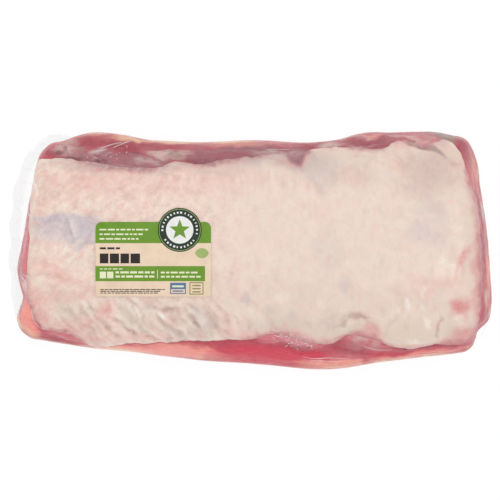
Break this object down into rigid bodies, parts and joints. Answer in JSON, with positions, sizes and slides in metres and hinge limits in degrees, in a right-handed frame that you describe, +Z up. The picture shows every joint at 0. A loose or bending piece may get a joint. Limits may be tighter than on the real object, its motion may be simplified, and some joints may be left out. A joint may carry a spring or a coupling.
{
  "type": "vacuum-packed raw pork loin",
  "caption": "Raw boneless pork loin, fat cap up, gripped by a clear sealed bag with a welded end flange and a printed paper label lying on the fat.",
  "frame": {"origin": "middle of the bounding box's underside, on the surface that the pack lies on", "axes": "+X along the loin, +Y towards the far, upper long side of the picture, +Z up through the fat cap"},
  "size_m": [0.3064, 0.151, 0.0642],
  "materials": {
    "film": "clear barrier film gripping the meat, wet-looking gloss",
    "fat": "raw cream back fat, mottled pink, under film",
    "lean": "raw rosy lean meat, under film",
    "label": "satin coated paper"
  },
  "bodies": {
    "root": {"sealed_loin": "film", "label": "label"}
  },
  "joints": []
}
